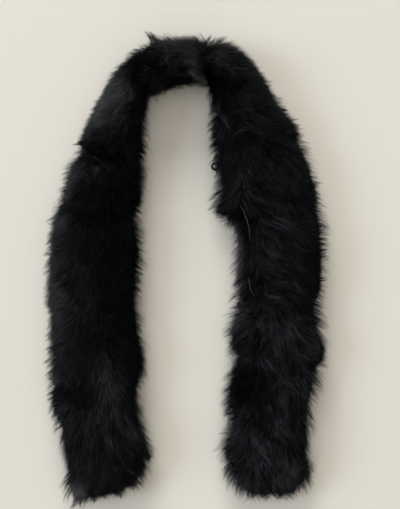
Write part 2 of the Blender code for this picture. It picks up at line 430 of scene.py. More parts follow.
# Troughs between tufts and beside seams. shade darkens the hair that grows in them.
creases = table("line width depth shade", [
    ([(-107, 113), (-92, 117), (-75, 121)], 5.0, 5.0, 0.30),
    ([(-88, 183), (-79, 177), (-69, 173)], 2.6, 3.5, 0.30),
    ([(-92, 166), (-83, 161), (-74, 158)], 2.6, 3.5, 0.30),
    ([(-102, 147), (-93, 143), (-84, 141)], 2.6, 3.0, 0.25),
    ([(-42, 227), (-39, 200), (-38, 174)], 4.5, 5.5, 0.25),
    ([(21, 229), (23, 206), (24, 186)], 3.2, 5.0, 0.30),
    ([(50, 190), (60, 188)], 3.0, 2.5, 0.15),
    ([(70, 128), (75, 125), (78, 128)], 3.0, 2.5, 0.20),
    ([(65, 7), (68, 1), (72, -3)], 3.0, 3.0, 0.30),
    ([(50, 62), (54, 52), (57, 41), (58, 28)], 2.5, 3.0, 0.30),
    ([(58, -9), (60, -21), (65, -33)], 2.5, 3.0, 0.30),
    ([(-135, -112), (-121, -116), (-108, -113)], 4.0, 3.5, 0.15),
    ([(-124, -159), (-106, -163)], 4.0, 3.0, 0.10),
    ([(114, 130), (103, 126)], 3.0, 3.0, 0.15),
    ([(134, -101), (118, -98)], 3.5, 3.0, 0.15),
    ([(72, 209), (62, 200)], 3.0, 3.0, 0.12),
])
seamCrease = {"width": 3.5, "depth": 1.8, "shade": 0.06}
unevenCrease = 0.85          # the least depth, as a share, before the drift is added

# Thin raised edges of bare hide that show between the hairs: places, radius, and how far to their
# sides no hair lies.
welts = table("line radius clear", {
    "frontEdgeHigh": ([(52, 67, 22), (57, 55, 25), (61, 42, 25), (62, 29, 21)], 0.55, 0.8),
    "frontEdgeLow": ([(61, -6, 20), (61.5, -12, 23), (63, -18, 24), (66, -24, 25)], 0.45, 0.7),
})

# Where the edge hair reaches further past its solid, or less far: the place, the half length of
# the stretch and how much further.
edgeBumps = [
    (-37, 229, 9, -9.0), (-22, 231, 18, -5.0), (4, 231, 18, -6.0), (30, 231, 14, -4.5),
    (-52, 221, 10, -2.0), (62, 203, 22, -1.5), (63, 212, 5, 2.5), (-42, 148, 14, -3.0),
    (-46, 107, 16, -2.0), (-47, 80, 9, 3.0), (-49, 45, 18, -3.0), (-50, -10, 26, -3.0),
    (-47, -60, 10, -2.0), (-45, -85, 10, 3.0), (-45, -142, 13, -2.5), (-40, -172, 9, 3.0),
    (-42, -193, 8, 3.0), (-58, -208, 13, -3.0), (-88, -220, 12, 2.0), (-121, -199, 9, -2.0),
    (-124, -172, 11, 2.5), (-134, -128, 11, 4.5), (-137, -103, 9, -2.0), (-141, -55, 8, 4.5),
    (-140, -28, 6, 3.5), (-137, 42, 9, 2.0), (-132, 62, 9, 3.5), (-115, 112, 10, 3.5),
    (-105, 134, 9, 5.5), (-94, 154, 9, 3.0), (-85, 174, 9, 4.5), (18, 155, 13, -2.0),
    (25, 118, 6, -2.0), (28, 83, 11, -5.0), (23, 63, 5, 2.0), (35, 55, 6, 3.0), (41, 40, 9, -4.0),
    (43, -7, 14, 3.0), (40, -38, 10, 4.0), (40, -79, 8, -2.5), (38, -97, 10, 4.0),
    (37, -150, 12, -8.0), (26, -172, 8, 12.0), (38, -196, 11, -6.0), (53, -214, 7, -2.5),
    (64, -218, 6, 2.0), (92, -216, 12, 2.5), (107, -209, 5, -3.0), (119, -199, 8, 5.5),
    (116, -140, 12, -2.0), (124, -105, 9, -3.5), (131, -82, 10, 4.5), (127, -43, 18, -3.0),
    (130, -13, 8, 2.0), (131, 35, 14, -2.5), (124, 82, 11, 2.0), (105, 143, 9, 4.5),
]


def allCreases():
    for crease in creases:
        yield lineOf(crease), crease
    for seam in guide["seams"]:
        yield seam, seamCrease


def markField(points, key):
    total = np.zeros(len(points))
    for mark in marks:
        if key in mark:
            turn = math.radians(mark["angle"])
            x, y = (points[:, :2] / mm - mark["at"]).T
            along = (x * math.cos(turn) + y * math.sin(turn)) / mark["halves"][0]
            across = (y * math.cos(turn) - x * math.sin(turn)) / mark["halves"][1]
            total += mark[key] * np.exp(-along ** 2 - across ** 2)
    return total


def markShare(points, key):
    return np.clip(markField(points, key), 0, 1)


def creaseField(points, key):
    total = np.zeros(len(points))
    for line, crease in allCreases():
        total = np.maximum(total, crease[key] * softLine(points, line, crease["width"] * mm))
    return total * (unevenCrease + drift(points, "crease"))


def bumpField(points):
    total = np.zeros(len(points))
    for x, y, reach, out in edgeBumps:
        away = np.linalg.norm(points[:, :2] / mm - (x, y), axis=1)
        total += out * np.exp(-(away / reach) ** 2)
    return total * mm


def sunkBy(points):
    return (markField(points, "sink") + creaseField(points, "depth")) * mm


# ---- the hides that carry the fur

hide = {
    "cell": 0.0052,          # size of a face after the refining
    "stripPlane": 0.0125,    # the two strips lie on each other here
    "topKeep": 0.60,         # height of the hide above that plane, as a share of the fur's
    "floorKeep": 0.62,       # and below it
    "sideInset": 0.0085,
    "drawnInset": 0.008,     # more, where a mark draws the hide in
    "mostInset": 0.45,       # of the way in to the middle of the band
    "leastHalf": 0.01,
    "leastSide": 0.05,
    "thickness": 0.0012,
}
refining = {"merge": 0.00002, "rounds": 6, "longest": 1.5, "restsBelow": 0.001,
            "smoothings": 4, "smoothing": 0.5}


def refinedShape(name, cell):
    # a solid without its faces inside the band, in small faces and a little rounded
    shape = bmesh.new()
    shape.from_mesh(nodes[name].data)
    bmesh.ops.remove_doubles(shape, verts=shape.verts, dist=refining["merge"])
    for _ in range(refining["rounds"]):
        longEdges = [e for e in shape.edges if e.calc_length() > cell * refining["longest"]]
        if not longEdges:
            break
        bmesh.ops.subdivide_edges(shape, edges=longEdges, cuts=1, use_grid_fill=True)
        bmesh.ops.triangulate(shape, faces=[f for f in shape.faces if len(f.verts) > 3])
    shape.normal_update()
    hidden = [f for f in shape.faces if neighbourAt(name, f.calc_center_median(), f.normal)]
    bmesh.ops.delete(shape, geom=hidden, context="FACES")
    inside = [v for v in shape.verts if not v.is_boundary and v.co.z > refining["restsBelow"]]
    for _ in range(refining["smoothings"]):
        bmesh.ops.smooth_vert(shape, verts=inside, factor=refining["smoothing"],
                              use_axis_x=True, use_axis_y=True, use_axis_z=True)
    shape.normal_update()
    shape.verts.ensure_lookup_table()
    return shape


def readShape(shape):
    places = np.array([v.co for v in shape.verts])
    normals = unit(np.array([v.normal for v in shape.verts]))
    faces = np.array([[v.index for v in f.verts] for f in shape.faces])
    shape.free()
    return places, normals, faces


def surfaceOf(places, normals, roots, faces):
    # places are where the fur reaches, and roots are the hide that it grows on
    return {"places": places, "normals": normals, "roots": roots, "faces": faces,
            "middles": places[faces].mean(1), "facing": normals[faces][:, :, 2].mean(1)}


def peltSurface(name):
    shape = refinedShape(name, hide["cell"])
    places = np.array([v.co for v in shape.verts])
    upward = np.clip(np.array([v.normal.z for v in shape.verts]), 0, 1)
    for vertex, height in zip(shape.verts, places[:, 2] - sunkBy(places) * upward):
        vertex.co.z = height
    shape.normal_update()
    places, normals, faces = readShape(shape)
    radial, reach, side, _ = locate(places)
    drawn = markField(places, "sparse") + markField(places, "drawIn")
    inset = hide["sideInset"] + hide["drawnInset"] * np.clip(drawn, 0, 1)
    halfWidth = np.maximum(reach / np.maximum(side, hide["leastSide"]), hide["leastHalf"])
    inset = reach * np.minimum(inset / halfWidth, hide["mostInset"])
    plane = hide["stripPlane"]
    keep = np.where(places[:, 2] > plane, hide["topKeep"], hide["floorKeep"])
    roots = places.copy()
    roots[:, :2] -= radial * inset[:, None]
    roots[:, 2] = plane + (places[:, 2] - plane) * keep
    roots[:, 2] += drift(places, "hideLump") * np.clip(normals[:, 2], 0, 1)
    return surfaceOf(places, normals, roots, faces)


# ---- materials

def addNode(tree, kind, **settings):
    node = tree.nodes.new("ShaderNode" + kind)
    for name, value in settings.items():
        setattr(node, name, value)
    return node


def linkNodes(tree, *pairs):
    for output, socket in pairs:
        tree.links.new(output, socket)


def colourRamp(tree, stops):
    ramp = addNode(tree, "ValToRGB")
    elements = ramp.color_ramp.elements
    while len(elements) < len(stops):
        elements.new(0.5)
    for element, (position, colour) in zip(elements, stops):
        element.position = position
        element.color = (*colour, 1)
    return ramp


# Tones past 1, up to the last stop, are only reached by the painted highlights of the light marks.
# rootShade is the painted shade at the roots of the hairs.
furFinish = {
    "tones": [(0.0, (0.0009, 0.0009, 0.0010)), (0.35, (0.0033, 0.0036, 0.0043)),
              (0.65, (0.0110, 0.0122, 0.0145)), (1.0, (0.0560, 0.0615, 0.0710)),
              (1.4, (0.1700, 0.1800, 0.1900))],
    "warmCast": (1.30, 0.98, 0.72),
    "rootShade": 0.35,
    "roughness": 0.42,
    "specular": 0.045,
    "specularTint": (0.82, 0.92, 1.0),
}
lightestTone = furFinish["tones"][-1][0]


def strandMaterial():
    # furToneAndPaintedLight holds how light a hair is painted, with its painted light and shade, how
    # far along it a point lies, which paints shade towards the root, and how brown its cast is
    material, tree, shader = newMaterial("dyedFurStrands")
    tone = addNode(tree, "Attribute", attribute_name="furToneAndPaintedLight")
    parts = addNode(tree, "SeparateColor")
    ramp = colourRamp(tree, [(at / lightestTone, colour) for at, colour in furFinish["tones"]])
    cast = addNode(tree, "Mix", data_type="RGBA", blend_type="MULTIPLY")
    setInputs(cast, {"B": (*furFinish["warmCast"], 1)})
    # painted shade: the hair darkens towards its root, down to rootShade
    depth = addNode(tree, "MapRange")
    setInputs(depth, {"To Min": furFinish["rootShade"]})
    shade = addNode(tree, "VectorMath", operation="SCALE")
    linkNodes(tree,
              (tone.outputs["Color"], parts.inputs["Color"]),
              (parts.outputs["Red"], ramp.inputs["Fac"]),
              (parts.outputs["Green"], depth.inputs["Value"]),
              (parts.outputs["Blue"], cast.inputs["Factor"]),
              (ramp.outputs["Color"], cast.inputs["A"]),
              (cast.outputs["Result"], shade.inputs[0]),
              (depth.outputs["Result"], shade.inputs["Scale"]),
              (shade.outputs["Vector"], shader.inputs["Base Color"]))
    setInputs(shader, {"Roughness": furFinish["roughness"],
                       "Specular IOR Level": furFinish["specular"],
                       "Specular Tint": (*furFinish["specularTint"], 1)})
    return material


# Mottled finishes: two colours mixed by a noise of that scale and detail, which also gives the
# bump. Where there is a painted light layer, it paints light and shade on them from place to place.
finishes = table("dark light scale detail bump roughness specular metallic toneLayer", {
    "denseUnderfur": ((0.0010, 0.0010, 0.0012), (0.0040, 0.0043, 0.0050), 420, 6, 0.0010,
                      0.85, 0.10, 0.0, None),
    "dyedHide": ((0.0120, 0.0125, 0.0132), (0.0330, 0.0345, 0.0355), 260, 8, 0.0004,
                 0.60, 0.12, 0.0, "bareTone"),
    "cutHideEdge": ((0.0100, 0.0105, 0.0110), (0.0330, 0.0345, 0.0360), 700, 5, 0.0003,
                    0.62, 0.30, 0.0, None),
    "lacqueredWire": ((0.0100, 0.0100, 0.0105), (0.0300, 0.0300, 0.0310), 900, 4, 0.00003,
                      0.28, 0.50, 0.6, None),
    "blackThread": ((0.0060, 0.0060, 0.0066), (0.0160, 0.0160, 0.0170), 2200, 3, 0.0001,
                    0.70, 0.30, 0.0, None),
})
mottleStops = (0.3, 0.7)


def mottledMaterial(name):
    finish = finishes[name]
    material, tree, shader = newMaterial(name)
    coords = addNode(tree, "TexCoord")
    noise = addNode(tree, "TexNoise")
    setInputs(noise, {"Scale": finish["scale"], "Detail": finish["detail"]})
    ramp = colourRamp(tree, list(zip(mottleStops, (finish["dark"], finish["light"]))))
    bump = addNode(tree, "Bump")
    setInputs(bump, {"Distance": finish["bump"]})
    linkNodes(tree,
              (coords.outputs["Object"], noise.inputs["Vector"]),
              (noise.outputs["Fac"], ramp.inputs["Fac"]),
              (noise.outputs["Fac"], bump.inputs["Height"]),
              (bump.outputs["Normal"], shader.inputs["Normal"]))
    colour = ramp.outputs["Color"]
    if finish["toneLayer"]:
        tone = addNode(tree, "Attribute", attribute_name=finish["toneLayer"])
        shade = addNode(tree, "VectorMath", operation="MULTIPLY")
        linkNodes(tree, (colour, shade.inputs[0]), (tone.outputs["Color"], shade.inputs[1]))
        colour = shade.outputs["Vector"]
    linkNodes(tree, (colour, shader.inputs["Base Color"]))
    setInputs(shader, {"Roughness": finish["roughness"], "Specular IOR Level": finish["specular"],
                       "Metallic": finish["metallic"]})
    return material


furStrands = strandMaterial()
mottled = {name: mottledMaterial(name) for name in finishes}
print("materials ready")


# ---- the fur

# lay is the compass direction of the fur (0 right, 90 towards the neck), fan how far it splays at
# both edges, lift its angle off the hide and tuft how hard its locks draw together. tone is how
# light the pelt's hair is painted, partly its own tone and partly painted light and shade as the
# pelt faces the light, streak how much single hairs differ, wild how untidy it is, and fringe how
# far hairs reach past the outer and the inner edge, as a share of the usual.
pelts = table("lay fan length lift tuft tone streak wild fringe", {
    "left_end": (-92, 0.8, 0.023, 35, 0.48, 0.53, 1.1, 1.1, (1.2, 1.0)),
    "left_front": (-98, 2.0, 0.019, 38, 0.20, 0.33, 0.25, 0.6, (1.3, 0.9)),
    "left_chest": (-110, 2.0, 0.018, 38, 0.25, 0.33, 0.3, 0.7, (1.3, 0.9)),
    "left_shoulder": (-130, 2.0, 0.016, 42, 0.30, 0.53, 0.7, 0.9, (1.2, 0.9)),
    "neck": (175, 2.6, 0.018, 38, 0.40, 0.73, 1.4, 1.0, (1.6, 0.5)),
    "neck_tuck": (-75, 0.3, 0.012, 16, 0.50, 0.20, 0.8, 1.3, (0.8, 0.8)),
    "right_shoulder": (-30, 2.0, 0.017, 40, 0.35, 0.48, 0.8, 1.0, (1.1, 1.2)),
    "right_chest": (-58, 2.0, 0.019, 36, 0.45, 0.46, 0.7, 1.1, (0.8, 1.2)),
    "right_front": (-52, 1.6, 0.023, 32, 0.44, 0.46, 1.2, 1.35, (0.8, 1.3)),
    "right_waist": (-72, 1.6, 0.023, 35, 0.44, 0.51, 1.8, 1.2, (0.7, 1.3)),
    "right_end": (-88, 1.0, 0.023, 35, 0.46, 0.49, 1.8, 1.5, (0.9, 1.3)),
})

# Locks with a painted highlight. Each runs from one place to another, in millimetres, in the fur of
# its pelt, and the last value is how light its painted highlight is.
wisps = {
    "left_shoulder": [
        (-55, 181, -52, 171, 0.70), (-59, 146, -57, 138, 0.60), (-40, 190, -40, 176, 0.55),
    ],
    "left_chest": [
        (-90, 112, -80, 106, 0.55), (-83, 105, -76, 101, 0.60), (-76, 105, -66, 98, 0.50),
        (-53, 107, -51, 102, 0.50),
    ],
    "left_front": [
        (-80, -79, -73, -92, 0.85), (-76, -93, -68, -107, 0.65), (-81, -113, -83, -122, 0.70),
        (-136, -68, -124, -71, 0.62), (-137, -80, -124, -87, 0.62), (-123, -92, -107, -103, 0.60),
        (-126, -98, -113, -112, 0.60), (-120, -109, -128, -113, 0.55), (-126, 0, -138, -6, 0.62),
        (-125, -16, -138, -21, 0.62), (-126, -30, -140, -36, 0.60), (-126, -46, -140, -53, 0.60),
        (-74, -43, -72, -46, 0.80),
    ],
    "left_end": [
        (-74, -113, -67, -129, 0.75), (-68, -139, -62, -158, 0.70), (-64, -148, -58, -164, 0.70),
        (-60, -141, -49, -165, 0.80), (-53, -157, -47, -165, 0.95), (-77, -160, -72, -175, 0.85),
        (-58, -194, -50, -199, 0.90), (-97, -183, -93, -200, 0.65), (-99, -160, -97, -170, 0.60),
    ],
    "neck": [
        (-13, 202, -12, 193, 0.75), (-12, 193, -3, 190, 0.85), (-5, 191, 3, 188, 0.75),
        (3, 202, 13, 198, 0.90), (1, 199, 10, 195, 0.85), (16, 206, 21, 212, 0.65),
        (-18, 208, -13, 202, 0.50),
    ],
    "neck_tuck": [
        (-13, 194, -4, 191, 0.85), (-5, 192, 3, 189, 0.80),
    ],
    "right_shoulder": [
        (39, 209, 39, 201, 0.66), (31, 201, 39, 200, 0.66), (31, 166, 33, 155, 0.90),
        (33, 155, 42, 140, 0.85), (46, 133, 61, 140, 0.78), (68, 135, 76, 134, 0.80),
    ],
    "right_chest": [
        (72, 128, 76, 125, 0.75), (67, 92, 75, 93, 0.62), (83, 81, 93, 79, 0.80),
        (61, 74, 77, 67, 0.66), (77, 67, 91, 67, 0.66),
    ],
    "right_front": [
        (73, 50, 86, 43, 0.70), (86, 43, 112, 38, 0.72), (86, 53, 101, 46, 0.92),
        (90, 51, 103, 49, 0.88), (84, 49, 98, 43, 0.85), (69, 30, 77, 22, 0.78),
        (77, 22, 89, 15, 0.80), (105, 26, 114, 20, 0.70), (106, 5, 111, 1, 0.70),
        (73, -4, 89, -12, 0.70), (89, -12, 100, -11, 0.70), (103, -9, 111, -17, 0.85),
        (103, -19, 111, -20, 0.80), (78, -23, 95, -26, 0.80), (58, 8, 47, -3, 0.85),
        (58, 20, 48, 6, 0.80), (59, -11, 50, -17, 0.82), (58, 27, 51, 34, 0.75),
    ],
    "right_waist": [
        (82, -31, 92, -31, 0.75), (75, -31, 86, -40, 0.75), (68, -47, 74, -58, 0.85),
        (105, -41, 113, -48, 0.75), (106, -59, 117, -71, 0.80), (110, -80, 124, -87, 0.75),
        (60, -61, 61, -72, 0.65), (87, -69, 89, -82, 0.70), (95, -92, 100, -99, 0.68),
        (77, -86, 88, -101, 0.80), (63, -87, 80, -90, 0.66),
    ],
    "right_end": [
        (92, -104, 109, -121, 0.82), (87, -151, 105, -162, 0.88), (83, -154, 90, -160, 0.78),
        (62, -157, 73, -176, 0.92), (71, -172, 83, -190, 0.88), (60, -175, 71, -211, 0.78),
        (85, -196, 87, -219, 0.74), (62, -132, 63, -141, 0.62), (67, -137, 68, -146, 0.62),
        (74, -123, 76, -139, 0.58), (80, -190, 92, -214, 0.70), (101, -185, 108, -199, 0.66),
    ],
}
highlightedLock = {
    # hairs that root this near a lock turn its way, on a line that starts that far behind it and
    # stops that far before its end
    "rootReach": 0.0026,
    "behind": (0.010, 0.005),
    "turned": 0.85,
    # hairs that pass this near it get its painted highlight, but no farther than that share of its
    # length
    "reach": 0.0013,
    "slim": 0.075,
    "brighter": (0.45, 1.8),  # from hair to hair
    "crossing": 0.5,         # for a hair that crosses it
    "along": (0.6, 0.95),    # how well in line a hair begins to follow it and does so in full
}

# The coat is the dense soft hair. The guard hairs stand out of it, longer and fewer, and the edge
# hairs form pointed locks where the pelts turn down at both sides.
hairs = {
    "coat": {"perArea": 1.36e6, "length": 0.85, "width": 0.00039, "turns": (1.25, 0.75),
             "liftSpread": 8, "standOut": (0.0002, 0.0034), "recede": 1.0, "lockShare": 0.5,
             "lock": 0.0032, "pull": 0.75, "glints": 0.0, "thinned": 0.93},
    "guard": {"perArea": 0.34e6, "length": 1.15, "width": 0.00026, "turns": (1.2, 0.9, 0.5),
              "liftSpread": 11, "standOut": (0.0015, 0.0085), "recede": 0.8, "lockShare": 0.5,
              "lock": 0.0042, "pull": 1.0, "glints": 0.10, "thinned": 0.75},
    "edge": {"perArea": 0.80e6, "length": 1.15, "width": 0.00026, "turns": (1.1, 0.95, 0.6),
             "liftSpread": 7, "standOut": (0.0003, 0.0112), "recede": 0.50, "lockShare": 0.80,
             "lock": 0.0034, "pull": 2.0, "glints": 0.04, "thinned": 0.2},
}

fur = {
    "firstSeed": 100,
    "sideLift": 60,          # the hair stands out squarely where the hide turns at the edges
    "liftLimits": (8, 80),
    "flattened": 0.6,        # of the lift, where a mark lays the hair flat
    "floorLift": 6,          # of hair on faces that look down
    "looksDown": -0.7,
    "floorFaces": -0.8,      # a face that looks down more than this lies on the floor
    "floorShare": 0.14,      # of the density there
    "floorClear": 0.0004,
    "lengths": (0.75, 1.15),
    "widths": (0.7, 1.2),
    "hairTurn": 7,
    "edgeTurnMore": 1.5,
    "edgeTurnFrom": (0.6, 1),
    "tuftSize": 0.012,       # tufts hold many locks, and turn, lift and darken together
    "tuftTurn": 14,
    "tuftLift": 5,
    "fewestTufts": 6,
    "fewestLocks": 20,
    "pulls": (0.5, 1.3),
    "pullCurve": 1.3,
    "mostPull": 0.92,
    "loose": 0.0008,
    "topStandOut": 0.40,
    "hairCurve": 2,          # most hairs stand out little and a few far
    "lockCurve": 1.5,
    "lockTone": 0.07,
    "tuftTone": 0.06,
    "hairTone": 0.08,
    "underTone": -0.05,
    "glintTone": 0.32,
    "glintSpread": (0.6, 1.2),
    "endZone": 0.030,        # the last stretch at both ends of the band is longer and more ragged
    "endLonger": 0.22,
    "endThicker": 1.2,
    "endTuft": 0.35,
    "fanFrom": (0.35, 1.05),
    "edgeFan": 1.8,
    "edgeUpright": (0.15, 0.50),  # how steep a face is where the edge hair begins and is densest
    "edgeTuft": 0.50,
    "fringeFrom": (0.6, 0.95),
    "seamBlend": (0.0, 0.022),
    "farthest": 0.0138,      # past the solid
    "deepest": 0.012,        # a tip farther than this from the solids is outside them
    "leastDepth": 0.002,
    "leastKept": 0.3,        # of a hair that is drawn back to its reach
    "weltDepth": 0.004,      # hair this far below a welt may pass under it
}


def pickRoots(surface, count, weights, rng):
    share = np.cumsum(weights) / weights.sum()
    chosen = np.searchsorted(share, rng.random(count))
    a, b = rng.random((2, count))
    flip = a + b > 1
    a[flip], b[flip] = 1 - a[flip], 1 - b[flip]
    corners = surface["faces"][chosen]
    mix = np.stack([1 - a - b, a, b], axis=1)[:, :, None]
    return [(surface[key][corners] * mix).sum(1) for key in ("roots", "places", "normals")]


def makeBed(surface, peltName, count, weights, rng):
    # where the hairs root, and what the hide and the band are like there
    roots, outs, normals = pickRoots(surface, count, weights, rng)
    normals = unit(normals)
    radial, _, side, outer = locate(outs)
    near, _, ways = nearHighlightedLocks(peltName, outs, highlightedLock["rootReach"], highlightedLock["behind"])
    return {"roots": roots, "outs": outs, "normals": normals, "radial": radial, "side": side,
            "outer": outer, "near": near, "ways": ways, "atEnd": endShare(peltName, outs),
            "upright": 1 - np.abs(normals[:, 2])}


def nearestOf(points, centres):
    tree = KDTree(len(centres))
    for index, centre in enumerate(centres):
        tree.insert(centre, index)
    tree.balance()
    return np.array([tree.find(point)[1] for point in points])


def gatherHairs(places, area, size, fewest, rng):
    # groups of about that size: the middle hair of each, and the group that every hair is in
    centres = rng.choice(len(places), max(fewest, int(area / size ** 2)), replace=False)
    return centres, nearestOf(places, places[centres])


def perGroup(group, draw, *limits):
    # one random value for each group, given to all its hairs
    centres, member = group
    return draw(*limits, len(centres))[member]


def outsideBy(points):
    beyond = np.empty(len(points))
    for index, (x, y, z) in enumerate(points):
        hit, normal, _, away = solidsTree.find_nearest((x, y, z))
        out = (x - hit[0]) * normal[0] + (y - hit[1]) * normal[1] + (z - hit[2]) * normal[2]
        beyond[index] = away if out > 0 or away > fur["deepest"] else -away
    return beyond


def trimToReach(points, standOut):
    roots = points[:, :1]
    beyond = outsideBy(points[:, -1])
    depth = np.maximum(-outsideBy(points[:, 0]), fur["leastDepth"])
    share = np.where(beyond > standOut, (standOut + depth) / (np.maximum(beyond, 0) + depth), 1.0)
    points[:] = roots + (points - roots) * np.clip(share, fur["leastKept"], 1)[:, None, None]


def flowOf(bed, lay, fan):
    # the way that each hair leans over its hide
    angle = np.radians(lay)
    flow = np.stack([np.cos(angle), np.sin(angle)], axis=1)
    flow += bed["radial"] * (fan * smoothStep(bed["side"], *fur["fanFrom"]))[:, None]
    turned = (bed["near"] * highlightedLock["turned"])[:, None]
    flow = unit(flow) * (1 - turned) + bed["ways"] * turned
    flow = np.hstack([unit(flow), np.zeros((len(flow), 1))])
    return unit(flow - bed["normals"] * (flow * bed["normals"]).sum(1)[:, None])


def nearHighlightedLocks(peltName, points, reach, behind=(0.0, 0.0), slim=1.0):
    # how near places are to the closest lock with a painted highlight, how light that is and which way
    # it runs
    near, tones = np.zeros((2, len(points)))
    ways = np.zeros((len(points), 2))
    for x0, y0, x1, y1, tone in wisps.get(peltName, []):
        start, end = np.array([x0, y0]) * mm, np.array([x1, y1]) * mm
        way = unit(end - start)
        line = (start - way * behind[0], end - way * behind[1])
        close = softLine(points, line, min(reach, slim * np.linalg.norm(end - start)))
        closer = close > near
        near[closer], tones[closer], ways[closer] = close[closer], tone, way
    return near, tones, ways


def paintHairLightAndShade(peltName, points, tones, rng):
    # tones by point: a painted highlight where a hair runs along a highlighted lock, painted
    # highlights from the light marks and painted shade from the dark marks
    spots, size = points.reshape(-1, 3), points.shape[1]
    near, light, ways = nearHighlightedLocks(peltName, spots, highlightedLock["reach"], slim=highlightedLock["slim"])
    run = unit((points[:, -1] - points[:, 0])[:, :2])
    inLine = np.abs((np.repeat(run, size, axis=0) * ways).sum(1))
    crossing = highlightedLock["crossing"]
    share = near * (crossing + (1 - crossing) * smoothStep(inLine, *highlightedLock["along"]))
    share *= np.repeat(rng.uniform(*highlightedLock["brighter"], len(points)), size)
    base = np.repeat(tones, size)
    lit = base + np.maximum(light - base, 0) * np.clip(share, 0, 1)
    lit += (lightestTone - lit) * markShare(spots, "light")
    return (lit * (1 - markShare(spots, "dark"))).reshape(points.shape[:2])


def bendHairs(bed, flow, lift, length, turns):
    steps = len(turns)
    points = np.zeros((len(flow), steps + 1, 3))
    points[:, 0] = bed["roots"]
    for step, share in enumerate(turns):
        tilt = np.radians(lift * share)[:, None]
        way = np.cos(tilt) * flow + np.sin(tilt) * bed["normals"]
        points[:, step + 1] = points[:, step] + way * (length / steps)[:, None]
    return points


def leanHairs(bed, pelt, kind, rng):
    # hairs turned from the lay of their pelt, lifted off the hide and bent
    hair, outs, count = hairs[kind], bed["outs"], len(bed["outs"])
    turn = perGroup(bed["tufts"], rng.normal, 0, fur["tuftTurn"])
    turn = (turn + drift(outs, "wideTurn") + drift(outs, "closeTurn")) * pelt["wild"]
    atEdge = smoothStep(bed["side"], *fur["edgeTurnFrom"])
    turn = turn + rng.normal(0, fur["hairTurn"], count) * (1 + fur["edgeTurnMore"] * atEdge)
    fan = pelt["fan"] * (fur["edgeFan"] if kind == "edge" else 1)
    flow = flowOf(bed, pelt["lay"] + turn + markField(outs, "turn"), fan)
    raised = perGroup(bed["tufts"], rng.normal, 0, fur["tuftLift"]) * pelt["wild"]
    lift = pelt["lift"] + (fur["sideLift"] - pelt["lift"]) * bed["upright"] + raised
    lift = np.clip(lift + rng.normal(0, hair["liftSpread"], count), *fur["liftLimits"])
    lift = np.where(bed["normals"][:, 2] < fur["looksDown"], fur["floorLift"], lift)
    lift = lift * (1 - fur["flattened"] * markShare(outs, "flat"))
    length = pelt["length"] * hair["length"] * rng.uniform(*fur["lengths"], count)
    length = length * (1 + drift(outs, "hairLength")) * (1 + fur["endLonger"] * bed["atEnd"])
    return bendHairs(bed, flow, lift, length, hair["turns"])


def drawTogether(points, locks, pull, rng):
    # the hairs of a lock lean on its middle one, more so towards their tips
    centres, member = locks
    steps = points.shape[1] - 1
    for step in range(1, steps + 1):
        strength = np.clip(pull * (step / steps) ** fur["pullCurve"], 0, fur["mostPull"])[:, None]
        points[:, step] += (points[centres][member][:, step] - points[:, step]) * strength
    loose = rng.normal(0, fur["loose"], (len(points), steps, 3))
    points[:, 1:] += loose * np.arange(1, steps + 1)[None, :, None] / steps


def reachOf(bed, pelt, hair, rng):
    # how far past its solid each hair may reach
    outs = bed["outs"]
    least, most = hair["standOut"]
    reach = (1 - hair["lockShare"]) * rng.random(len(outs)) ** fur["hairCurve"]
    reach = reach + hair["lockShare"] * perGroup(bed["locks"], rng.random) ** fur["lockCurve"]
    reach = (least + (most - least) * reach) * fringeShare(bed, pelt) * (1 + drift(outs, "standOut"))
    reach *= 1 - (1 - fur["topStandOut"]) * np.clip(bed["normals"][:, 2], 0, 1)
    bump = bumpField(outs) * smoothStep(bed["upright"], *fur["edgeUpright"])
    return np.minimum(reach + np.where(bump < 0, hair["recede"], 1) * bump, fur["farthest"])


def seamMix(peltName, points, key):
    # a pelt's value, halfway to its neighbour's where a seam is near
    value = np.full(len(points), float(pelts[peltName][key]))
    if peltName in bandOrder:
        place = bandOrder.index(peltName)
        for seam, other in ((place - 1, place - 1), (place, place + 1)):
            if 0 <= other < len(bandOrder):
                away = awayFrom(points, guide["seams"][seam])
                step = (pelts[bandOrder[other]][key] - pelts[peltName][key]) / 2
                value += step * (1 - smoothStep(away, *fur["seamBlend"]))
    return value


def tonesOf(bed, peltName, layer, hair, rng):
    # how light each hair is: its own tone, with painted light and shade from the pelt's tone and the
    # marks, painted shade in the creases and painted glints on a few hairs
    outs, count = bed["outs"], len(bed["outs"])
    spread = pelts[peltName]["streak"] + markField(outs, "streak")
    tone = perGroup(bed["locks"], rng.normal, 0, fur["lockTone"])
    tone = tone + perGroup(bed["tufts"], rng.normal, 0, fur["tuftTone"])
    tone = tone + rng.normal(0, fur["hairTone"], count)
    tone = seamMix(peltName, outs, "tone") + tone * spread + drift(outs, "tone")
    tone += markField(outs, "tone") - creaseField(outs, "shade")
    glint = rng.random(count) < hair["glints"] * spread
    tone += glint * fur["glintTone"] * rng.uniform(*fur["glintSpread"], count)
    if layer == "under":
        tone += fur["underTone"]
    return np.clip(tone, 0, 1)


def fringeShare(bed, pelt):
    outerShare, innerShare = pelt["fringe"]
    atEdge = smoothStep(bed["side"], *fur["fringeFrom"])
    return 1 + (np.where(bed["outer"] > 0, outerShare, innerShare) - 1) * atEdge


def endShare(peltName, outs):
    # 1 at the very end of the band, 0 away from it
    if not peltName.endswith("end"):
        return np.zeros(len(outs))
    low = min(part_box(layer + "_" + peltName)[0].y for layer in ("upper", "under"))
    return 1 - smoothStep(outs[:, 1], low, low + fur["endZone"])


